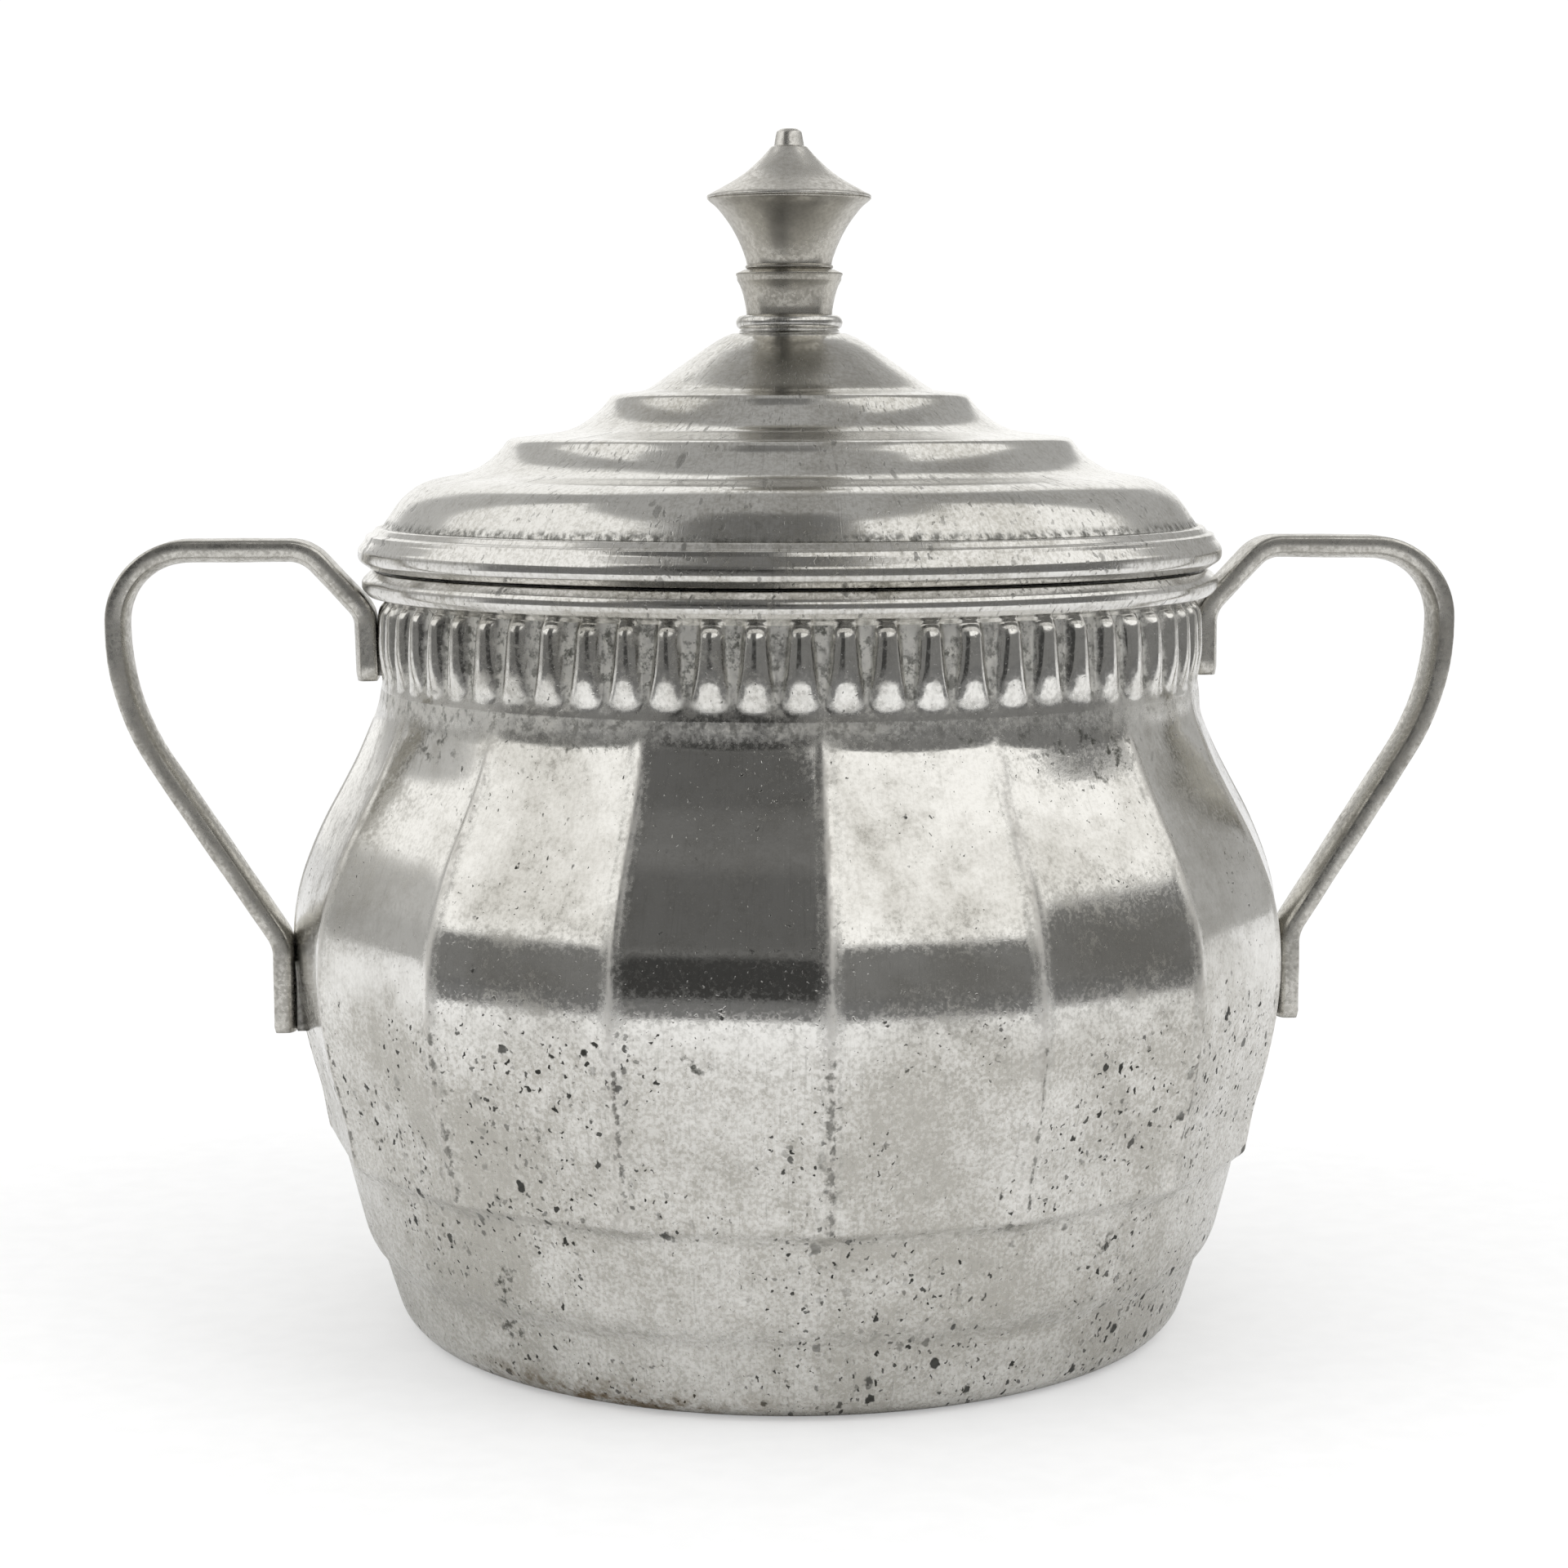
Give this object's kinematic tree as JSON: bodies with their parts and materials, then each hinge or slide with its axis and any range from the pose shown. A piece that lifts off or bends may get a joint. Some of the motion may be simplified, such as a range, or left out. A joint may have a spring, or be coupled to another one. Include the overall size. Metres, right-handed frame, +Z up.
{
  "type": "covered sugar bowl",
  "caption": "Covered metal sugar bowl with a panelled round belly, gadrooned neck, two strip handles and a stepped lift-off lid with a turned finial.",
  "frame": {"origin": "centre of the foot ring on the surface that the bowl stands on", "axes": "+Z up along the axis of bowl, lid and finial; X along the two handles, left handle on -X"},
  "size_m": [0.15, 0.111, 0.1316],
  "materials": {
    "silver_plate": "worn silver plate, polished with tarnish spots",
    "lid_plate": "worn silver plate, semi-polished",
    "handle_plate": "dull worn silver plate",
    "finial_plate": "dull worn silver plate",
    "solder": "grey solder",
    "brass_hardware": "dull brass"
  },
  "bodies": {
    "root": {"bowl_body": "silver_plate", "base_disc": "silver_plate", "body_rim_moulding": "silver_plate", "left_handle": "handle_plate", "left_handle_solder": "solder", "right_handle": "handle_plate", "right_handle_solder": "solder"},
    "lid": {"lid_shell": "lid_plate", "lid_rim_moulding": "lid_plate", "lid_bezel": "lid_plate", "finial_collar": "finial_plate", "finial_spool": "finial_plate", "finial_cup": "finial_plate", "finial_cap": "finial_plate", "finial_stud": "brass_hardware", "finial_washer": "brass_hardware", "finial_nut": "brass_hardware"}
  },
  "joints": [
    {"name": "lid_lift", "type": "slide", "parent": "root", "child": "lid", "axis": [0, 0, 1], "range_m": [0, 0.06]}
  ]
}
